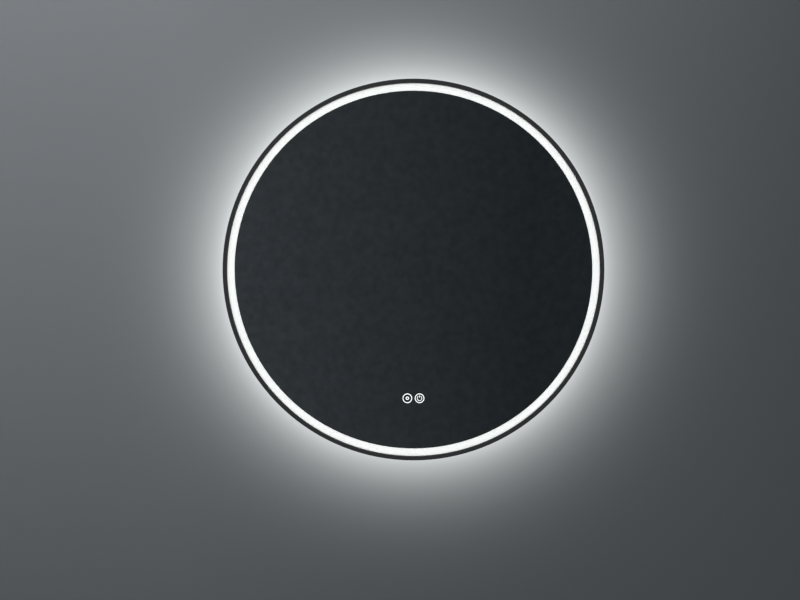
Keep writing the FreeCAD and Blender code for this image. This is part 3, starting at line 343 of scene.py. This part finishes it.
def places_of(node):
    """The box of each separate solid of a construction node, in order of place."""
    bm = bmesh.new()
    bm.from_mesh(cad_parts[node].data)
    bmesh.ops.remove_doubles(bm, verts=bm.verts, dist=1e-6)
    left = set(bm.verts)
    boxes = []
    while left:
        queue = [left.pop()]
        group = set(queue)
        while queue:
            for edge in queue.pop().link_edges:
                fresh = left.intersection(edge.verts)
                left -= fresh
                group |= fresh
                queue.extend(fresh)
        corners = [[end(vert.co[side] for vert in group) for side in range(3)] for end in (min, max)]
        boxes.append((Vector(corners[0]), Vector(corners[1])))
    bm.free()
    return sorted(boxes, key=lambda box: tuple(box[0]))


def size_of(node):
    """Width of one solid of a construction node, and its length off the wall."""
    low, high = places_of(node)[0]
    return high.x - low.x, high.y - low.y


def repeat_as(name, shape, node, material):
    """Put one shape at each solid of a construction node, and let the piece stand for the node.

    The shape is made round the Y axis, with its back, the side towards the wall, at y = 0.
    """
    bmesh.ops.recalc_face_normals(shape, faces=shape.faces)
    one = bpy.data.meshes.new(name + "_one")
    shape.to_mesh(one)
    shape.free()
    bm = bmesh.new()
    for low, high in places_of(node):
        known = set(bm.verts)
        bm.from_mesh(one)
        bmesh.ops.translate(bm, verts=[vert for vert in bm.verts if vert not in known],
                            vec=((low.x + high.x) / 2, high.y, (low.z + high.z) / 2))
    mesh = bpy.data.meshes.new(name)
    bm.to_mesh(mesh)
    bm.free()
    bpy.data.meshes.remove(one)
    mesh.shade_smooth()
    mesh.set_sharp_from_angle(angle=math.radians(35))
    mesh.materials.append(material)
    piece = bpy.data.objects.new(name, mesh)
    bpy.context.scene.collection.objects.link(piece)
    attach(piece, "mirror")
    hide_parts(node)


def sheet(name, size, centre, upright, material):
    """A flat stage plane, lying down or standing square to the line of sight."""
    bm = bmesh.new()
    bmesh.ops.create_grid(bm, x_segments=1, y_segments=1, size=0.5)
    bmesh.ops.scale(bm, verts=bm.verts, vec=(size[0], size[1], 1))
    if upright:
        bmesh.ops.rotate(bm, verts=bm.verts, cent=(0, 0, 0), matrix=Matrix.Rotation(math.pi / 2, 3, "X"))
    bmesh.ops.translate(bm, verts=bm.verts, vec=centre)
    mesh = bpy.data.meshes.new(name)
    bm.to_mesh(mesh)
    bm.free()
    mesh.materials.append(material)
    plane = bpy.data.objects.new(name, mesh)
    bpy.context.scene.collection.objects.link(plane)
    return plane


# ---------------------------------------------------------------- settings

class MirrorFinishes(bpy.types.PropertyGroup):
    """Lights, colours and small sizes of the mirror"""

    band_colour: FloatVectorProperty(
        name="Band colour", description="Colour of the lit ring behind the glass", subtype="COLOR",
        size=3, min=0, max=1, default=srgb("#fffcfd")[:3])
    band_strength: FloatProperty(
        name="Band strength", description="Brightness of the lit ring, 1 being white",
        subtype="FACTOR", default=0.775, min=0)
    # The band's light stops short of the lip and the silvering; the unlit rims are painted shade.
    band_outer: FloatProperty(
        name="Band outer edge", description="How far inside the mirror's outline the lit ring begins",
        subtype="DISTANCE", unit="LENGTH", default=0.0096, min=0)
    band_inner: FloatProperty(
        name="Band inner edge", description="How far inside the mirror's outline the lit ring ends",
        subtype="DISTANCE", unit="LENGTH", default=0.0243, min=0)
    sleeve_colour: FloatVectorProperty(
        name="Sleeve colour", description="Colour of the light thrown on the wall", subtype="COLOR",
        size=3, min=0, max=1, default=srgb("#f4f7f7")[:3])
    sleeve_strength: FloatProperty(
        name="Sleeve strength", description="Brightness of the sleeve that lights the wall",
        subtype="FACTOR", default=4.0, min=0)
    symbol_strength: FloatProperty(
        name="Symbol strength", description="Brightness of the lenses behind the touch symbols",
        subtype="FACTOR", default=1.15, min=0)
    screw_recess: FloatProperty(
        name="Screw recess", description="Depth of the cross in each screw head", subtype="DISTANCE",
        unit="LENGTH", default=0.0009, min=0)
    bumper_round: FloatProperty(
        name="Bumper rounding", description="Radius round the face of each wall bumper",
        subtype="DISTANCE", unit="LENGTH", default=0.0014, min=0)
    bumper_steps: IntProperty(
        name="Bumper steps", description="Steps round each wall bumper", default=40, min=12)


class MirrorStudio(bpy.types.PropertyGroup):
    """Backdrop, light and lens"""

    lens: FloatProperty(
        name="Lens", description="Focal length on a 36 mm wide sensor, in millimetres",
        default=64, min=20)
    floor_drop: FloatProperty(
        name="Floor drop", description="Height of the mirror's centre above the floor",
        subtype="DISTANCE", unit="LENGTH", default=1.5)
    floor_colour: FloatVectorProperty(
        name="Floor", description="Colour of the floor", subtype="COLOR", size=3, min=0, max=1,
        default=srgb("#d6d8d7")[:3])
    # Painted light on the backdrop: its colour where the painted light is whole, at the upper left, and
    # its painted shade at the lower right.
    wall_painted_lit: FloatVectorProperty(
        name="Wall, light side", description="Colour of the backdrop at its upper left",
        subtype="COLOR", size=3, min=0, max=1, default=srgb("#7f8386")[:3])
    wall_painted_shade: FloatVectorProperty(
        name="Wall, dark side", description="Colour of the backdrop at its lower right",
        subtype="COLOR", size=3, min=0, max=1, default=srgb("#404447")[:3])
    # The halo is painted light: a glow painted on the backdrop round the mirror's outline.
    painted_halo_strength: FloatProperty(
        name="Halo", description="Brightness of the halo on the wall at the mirror's edge",
        subtype="FACTOR", default=0.66, min=0)
    painted_halo_reach: FloatProperty(
        name="Halo reach", description="Distance in which the halo falls to about a third",
        subtype="DISTANCE", unit="LENGTH", default=0.057)


# ---------------------------------------------------------------- operators

class MIRROR_OT_frame(bpy.types.Operator):
    """Powder coat the ring and finish what joins and lines it"""

    bl_idname = "mirror.frame"
    bl_label = "Frame"

    def execute(self, context):
        finish_nodes(powder_coat(), "frame_ring")
        finish_nodes(mill_aluminium(), "frame_splice")
        finish_nodes(foam_tape(), "lip_tape", "driver_tape")
        return {"FINISHED"}


class MIRROR_OT_glass(bpy.types.Operator):
    """Glaze the mirror and silver its back round the lit band and the touch symbols"""

    bl_idname = "mirror.glass"
    bl_label = "Glass"

    def execute(self, context):
        finish_nodes(float_glass(), "mirror_glass")
        finish_nodes(silvering(), "silver_coating")
        return {"FINISHED"}


class MIRROR_OT_lights(bpy.types.Operator):
    """Light the band, the rear sleeve and the symbols, and finish the strips behind them"""

    bl_idname = "mirror.lights"
    bl_label = "Lights"

    def execute(self, context):
        wanted = context.scene.mirror_finishes
        band = wanted.band_colour
        finish_nodes(lit_opal("opal_band", band, wanted.band_strength,
                              (wanted.band_outer, wanted.band_inner)), "front_diffuser")
        finish_nodes(lit_opal("opal_sleeve", wanted.sleeve_colour, wanted.sleeve_strength),
                     "rear_diffuser")
        finish_nodes(lit_opal("opal_lens", band, wanted.symbol_strength),
                     "light_icon_lens", "demister_icon_lens")
        finish_nodes(white_enamel(), "reflector_ring")
        finish_nodes(circuit_board("strip_board", ("#dfdfdb", "#f0f0ec")),
                     "front_led_board", "rear_led_board")
        finish_nodes(phosphor(), "front_leds", "rear_leds")
        return {"FINISHED"}


class MIRROR_OT_pan(bpy.types.Operator):
    """Finish the rear pan and both halves of the cleat"""

    bl_idname = "mirror.pan"
    bl_label = "Pan and cleat"

    def execute(self, context):
        finish_nodes(galvanised(), "rear_pan")
        finish_nodes(zinc_plate("cleat_zinc", ("#a6abae", "#c6cacd")), "wall_rail", "hanger_bracket")
        return {"FINISHED"}


class MIRROR_OT_screws(bpy.types.Operator):
    """Make the pan's screws with their crossed pan heads"""

    bl_idname = "mirror.screws"
    bl_label = "Screws"

    def execute(self, context):
        recess = context.scene.mirror_finishes.screw_recess
        zinc = zinc_plate("fastener_zinc", ("#b6babc", "#d2d5d7"))
        width, length = size_of("pan_screws")
        head_r, head_h, flat_r, dome_h = width / 2, 0.0018, 0.0019, 0.0009
        shank_r, point_h = 0.0015, 0.0009
        arm_l, arm_w, draft = 0.0014, 0.0003, 0.00006
        rim = arc((flat_r, -dome_h), (head_r - flat_r, dome_h), 0, 90, 4)
        screw = bmesh.new()
        lathe(screw, [(0, -length), (shank_r / 2, -length), (shank_r, point_h - length),
                      (shank_r, -head_h), (head_r, -head_h), *rim], 20)
        bmesh.ops.holes_fill(screw, edges=[edge for edge in screw.edges if edge.is_boundary])
        for across in (Vector((1, 0, 0)), Vector((0, 0, 1))):
            for reach in (-arm_l, -arm_w, arm_w, arm_l):
                parts = dict.fromkeys(part for face in self.flat(screw)
                                      for part in (face, *face.edges, *face.verts))
                bmesh.ops.bisect_plane(screw, geom=list(parts), plane_co=across * reach, plane_no=across)
        bmesh.ops.recalc_face_normals(screw, faces=screw.faces)
        sunk = [face for face, middle in self.flat(screw).items()
                if abs(middle.x) < arm_l and abs(middle.z) < arm_l
                and min(abs(middle.x), abs(middle.z)) < arm_w]
        bmesh.ops.inset_region(screw, faces=sunk, thickness=draft, depth=-recess)
        repeat_as("pan_screw_set", screw, "pan_screws", zinc)
        finish_nodes(zinc, "splice_screws", "driver_cover_screws", "terminal_screws", "terminal_rivets")
        return {"FINISHED"}

    def flat(self, screw):
        """The faces of the head's flat, each with its middle."""
        middles = {face: face.calc_center_median() for face in screw.faces}
        return {face: middle for face, middle in middles.items() if abs(middle.y) < 1e-6}


class MIRROR_OT_rivets(bpy.types.Operator):
    """Make the blind rivets that hold the hanger, with their domes, mandrel wells and bulged tails"""

    bl_idname = "mirror.rivets"
    bl_label = "Rivets"

    def execute(self, context):
        width, length = size_of("hanger_rivets")
        head_r, head_h, dome_h = width / 2, 0.0014, 0.0012
        shank_r, tail_r, tail_h = 0.0016, 0.0027, 0.0014
        well_r, well_top, well_h, mandrel_h = 0.0009, 0.0002, 0.0011, 0.0009
        dome = arc((well_r * 1.5, -dome_h), (head_r - well_r * 1.5, dome_h), 0, 90, 5)
        tail = arc((0, tail_h - length), (tail_r, tail_h), -90, 0, 4)
        rivet = bmesh.new()
        lathe(rivet, [*tail, (shank_r, tail_h - length), (shank_r, -head_h), (head_r, -head_h), *dome,
                      (well_r, -well_top), (well_r * 0.8, -well_h), (0, -mandrel_h)], 24)
        steel = zinc_plate("rivet_zinc", ("#b9bcbe", "#cdd0d2"))
        repeat_as("hanger_rivet_set", rivet, "hanger_rivets", steel)
        return {"FINISHED"}


class MIRROR_OT_rubber(bpy.types.Operator):
    """Make the wall bumpers, rounded and dished, and finish the cable grommet"""

    bl_idname = "mirror.rubber"
    bl_label = "Rubber"

    def execute(self, context):
        wanted = context.scene.mirror_finishes
        black = rubber()
        width, height = size_of("wall_bumpers")
        edge, dish, slope = wanted.bumper_round, 0.0008, 0.0005
        rim = arc((width / 2 - edge, -edge), (edge, edge), 0, 90, 5)
        bumper = bmesh.new()
        lathe(bumper, [(0, -height), (width / 2, -height), *rim, (width * 0.28, 0),
                       (width * 0.24, -slope), (width * 0.08, -dish), (0, -dish)], wanted.bumper_steps)
        repeat_as("wall_bumper_set", bumper, "wall_bumpers", black)
        finish_nodes(black, "cable_grommet")
        return {"FINISHED"}


class MIRROR_OT_electrics(bpy.types.Operator):
    """Finish the driver, the terminals, the sensors, the demister, the earth and the leads"""

    bl_idname = "mirror.electrics"
    bl_label = "Electrics"

    def execute(self, context):
        finish_nodes(moulding("white_moulding", ("#dbdbd7", "#e6e6e2")), "driver_case", "driver_cover",
                     "terminal_base", "terminal_cover", "lead_clips")
        finish_nodes(moulding("black_moulding", ("#191a1b", "#242627")), "light_touch_sensor",
                     "demister_touch_sensor")
        finish_nodes(circuit_board("green_board", ("#0e5128", "#1f6f3f")),
                     "driver_board", "sensor_boards")
        finish_nodes(heating_film(), "demister_pad")
        finish_nodes(bare_metal("turned_brass", ("#b48e45", "#d0ac62")), "earth_stud", "earth_nut")
        finish_nodes(bare_metal("tinned_copper", ("#b7b4ab", "#cfccc4")), "earth_lug")
        finish_nodes(sheath("white_sheath", ("#d9d9d5", "#e6e6e2")), "front_strip_lead",
                     "rear_strip_lead", "light_sensor_lead", "demister_sensor_lead", "demister_lead")
        finish_nodes(sheath("grey_sheath", ("#77797a", "#8a8c8d")), "mains_lead")
        finish_nodes(sheath("earth_sheath", ("#4b8a1e", "#6fae2e")), "earth_lead")
        return {"FINISHED"}


class MIRROR_OT_studio(bpy.types.Operator):
    """Set up the floor, the backdrop with its painted light and painted halo, the lamps and the camera
    """

    bl_idname = "mirror.studio"
    bl_label = "Studio"

    def execute(self, context):
        wanted = context.scene.mirror_studio
        floor_z = AXIS.z - wanted.floor_drop
        sheet("studio_floor", (16, 16), (0, 0, floor_z), False, self.floor(wanted))
        top_z = AXIS.z + WALL_RISE
        wall = sheet("studio_wall", (WALL_WIDTH, top_z - floor_z), (0, WALL_GAP, (top_z + floor_z) / 2),
                     True, self.wall(wanted, context.scene.mirror_finishes.sleeve_colour))
        wall.visible_diffuse = wall.visible_glossy = False
        wall.visible_transmission = wall.visible_shadow = False
        cloth = sheet("studio_cloth", (12, 5), (0, -6, 0.9), True, self.cloth())
        cloth.visible_camera = cloth.visible_diffuse = cloth.visible_shadow = False
        for name, place, width, power in LAMPS:
            data = bpy.data.lights.new(name, "AREA")
            data.size = width
            data.energy = power
            lamp = bpy.data.objects.new(name, data)
            lamp.location = place
            lamp.rotation_euler = (AXIS - lamp.location).to_track_quat("-Z", "Y").to_euler()
            lamp.visible_camera = False
            context.scene.collection.objects.link(lamp)
        self.world(context.scene)
        self.camera(context.scene, wanted)
        return {"FINISHED"}

    def floor(self, wanted):
        """Painted boards: pale and matt, lifted where they are looked at and left dark where shaded."""
        material, tree, place = new_material("studio_floor")
        worn = add(tree, "ShaderNodeTexNoise", {"Vector": place, "Scale": 1.2, "Detail": 3.0})
        dim = [part * 0.95 for part in wanted.floor_colour]
        colour = add(tree, "ShaderNodeMix", {"Factor": worn, 6: (*dim, 1), 7: (*wanted.floor_colour, 1)},
                     data_type="RGBA")
        paint = add(tree, "ShaderNodeBsdfPrincipled", {"Base Color": colour.outputs[2],
                                                       "Roughness": 0.7})
        glow = add(tree, "ShaderNodeEmission", {"Color": colour.outputs[2], "Strength": 0.95})
        lifted = add(tree, "ShaderNodeMixShader", {"Fac": 0.5, 1: paint, 2: glow})
        seen = add(tree, "ShaderNodeMixShader", {"Fac": self.looked_at(tree), 1: paint, 2: lifted})
        add(tree, "ShaderNodeOutputMaterial", {"Surface": seen})
        return material

    def wall(self, wanted, light):
        """Painted wall with painted light, lighter at its upper left and darker at its lower right, and
        with the mirror's halo painted on as a glow. From behind it is clear.
        """
        material, tree, place = new_material("studio_wall")
        parts = add(tree, "ShaderNodeSeparateXYZ", {"Vector": place})
        # Painted light: the colour runs from painted shade at the lower right to painted light at the
        # upper left.
        left = add(tree, "ShaderNodeMapRange", {"Value": parts.outputs["X"], "From Min": WALL_PAINTED_SHADE_AT[0],
                                                "From Max": WALL_PAINTED_LIGHT_AT[0]})
        high = add(tree, "ShaderNodeMapRange", {"Value": parts.outputs["Z"], "From Min": WALL_PAINTED_SHADE_AT[1],
                                                "From Max": WALL_PAINTED_LIGHT_AT[1]})
        both = add(tree, "ShaderNodeMath", {0: left, 1: high}, operation="MULTIPLY")
        colour = add(tree, "ShaderNodeMix", {"Factor": both, 6: (*wanted.wall_painted_shade, 1),
                                             7: (*wanted.wall_painted_lit, 1)}, data_type="RGBA")
        # Painted halo: the wall glows round the mirror's outline, fading outwards, where the rear
        # sleeve's light falls.
        faded = add(tree, "ShaderNodeMath", {0: outside(tree, place), 1: -wanted.painted_halo_reach},
                    operation="DIVIDE")
        halo = add(tree, "ShaderNodeMath", {0: faded}, operation="EXPONENT")
        level = add(tree, "ShaderNodeMath", {0: halo, 1: wanted.painted_halo_strength}, operation="MULTIPLY")
        glow = add(tree, "ShaderNodeEmission", {"Color": (*light, 1), "Strength": level})
        paint = add(tree, "ShaderNodeBsdfDiffuse", {"Color": colour.outputs[2]})
        lit = add(tree, "ShaderNodeAddShader", {0: paint, 1: glow})
        side = add(tree, "ShaderNodeNewGeometry").outputs["Backfacing"]
        clear = add(tree, "ShaderNodeBsdfTransparent")
        shown = add(tree, "ShaderNodeMixShader", {"Fac": side, 1: lit, 2: clear})
        add(tree, "ShaderNodeOutputMaterial", {"Surface": shown})
        return material

    def cloth(self):
        """Dark glowing cloth behind the camera, which the mirror shows as a dim room: a painted
        reflection, with painted light lighter towards negative X and darker towards positive X.
        """
        material, tree, place = new_material("studio_cloth")
        parts = add(tree, "ShaderNodeSeparateXYZ", {"Vector": place})
        across = add(tree, "ShaderNodeMapRange", {"Value": parts.outputs["X"], "From Min": -1.2,
                                                  "From Max": 0.8})
        weave = add(tree, "ShaderNodeTexNoise", {"Vector": place, "Scale": grains(22), "Detail": 2.0})
        # Painted light: the cloth is lighter towards negative X and darker towards positive X.
        tone = add(tree, "ShaderNodeMix", {"Factor": across, 6: srgb("#3a3c40"), 7: srgb("#232629")},
                   data_type="RGBA")
        level = add(tree, "ShaderNodeMapRange", {"Value": weave, "From Min": 0.3, "From Max": 0.7,
                                                 "To Min": 0.88, "To Max": 1.12})
        glow = add(tree, "ShaderNodeEmission", {"Color": tone.outputs[2], "Strength": level})
        add(tree, "ShaderNodeOutputMaterial", {"Surface": glow})
        return material

    def looked_at(self, tree):
        """1 where a thing is seen by the camera, in metal or through glass, else 0."""
        path = add(tree, "ShaderNodeLightPath")
        mirrored = add(tree, "ShaderNodeMath", {0: path.outputs["Is Camera Ray"],
                                                1: path.outputs["Is Glossy Ray"]}, operation="MAXIMUM")
        return add(tree, "ShaderNodeMath", {0: mirrored, 1: path.outputs["Is Transmission Ray"]},
                   operation="MAXIMUM")

    def world(self, scene):
        """Even soft light from all round, and a pale background wherever it is looked at."""
        scene.world = bpy.data.worlds.new("studio_world")
        scene.world.use_nodes = True
        tree = scene.world.node_tree
        tree.nodes.clear()
        soft = add(tree, "ShaderNodeBackground", {"Color": srgb("#e9ebed"), "Strength": 0.45})
        pale = add(tree, "ShaderNodeBackground", {"Color": srgb("#dcdedf"), "Strength": 1.0})
        shown = add(tree, "ShaderNodeMixShader", {"Fac": self.looked_at(tree), 1: soft, 2: pale})
        add(tree, "ShaderNodeOutputWorld", {"Surface": shown})

    def camera(self, scene, wanted):
        """Square to the wall, where the ring's outline stands in the picture as it should."""
        pixel = 2 * OUTER_R / OUTLINE_WIDTH
        data = bpy.data.cameras.new("camera")
        data.lens = wanted.lens
        data.sensor_width = 36
        camera = bpy.data.objects.new("camera", data)
        camera.location = (AXIS.x - (OUTLINE_CENTRE[0] - PICTURE[0] / 2) * pixel,
                           RING_LOW.y - pixel * PICTURE[0] * data.lens / data.sensor_width,
                           AXIS.z - (PICTURE[1] / 2 - OUTLINE_CENTRE[1]) * pixel)
        camera.rotation_euler = (math.pi / 2, 0, 0)
        scene.collection.objects.link(camera)
        scene.camera = camera
        scene.view_settings.view_transform = "Standard"


class MIRROR_PT_panel(bpy.types.Panel):
    """The mirror's pieces and its studio"""

    bl_idname = "MIRROR_PT_panel"
    bl_label = "Lighted mirror"
    bl_space_type = "VIEW_3D"
    bl_region_type = "UI"
    bl_category = "Mirror"

    def draw(self, context):
        for group in (context.scene.mirror_finishes, context.scene.mirror_studio):
            for name in group.__annotations__:
                self.layout.prop(group, name)
        for operator in OPERATORS:
            self.layout.operator(operator.bl_idname)


OPERATORS = (MIRROR_OT_frame, MIRROR_OT_glass, MIRROR_OT_lights, MIRROR_OT_pan, MIRROR_OT_screws,
             MIRROR_OT_rivets, MIRROR_OT_rubber, MIRROR_OT_electrics, MIRROR_OT_studio)
CLASSES = (MirrorFinishes, MirrorStudio, *OPERATORS, MIRROR_PT_panel)


def register():
    for item in CLASSES:
        bpy.utils.register_class(item)
    bpy.types.Scene.mirror_finishes = PointerProperty(type=MirrorFinishes)
    bpy.types.Scene.mirror_studio = PointerProperty(type=MirrorStudio)


def unregister():
    del bpy.types.Scene.mirror_studio
    del bpy.types.Scene.mirror_finishes
    for item in reversed(CLASSES):
        bpy.utils.unregister_class(item)


def main():
    register()
    bpy.ops.mirror.frame()
    bpy.ops.mirror.glass()
    bpy.ops.mirror.lights()
    bpy.ops.mirror.pan()
    bpy.ops.mirror.screws()
    bpy.ops.mirror.rivets()
    bpy.ops.mirror.rubber()
    bpy.ops.mirror.electrics()
    bpy.ops.mirror.studio()


if __name__ == "__main__":
    main()
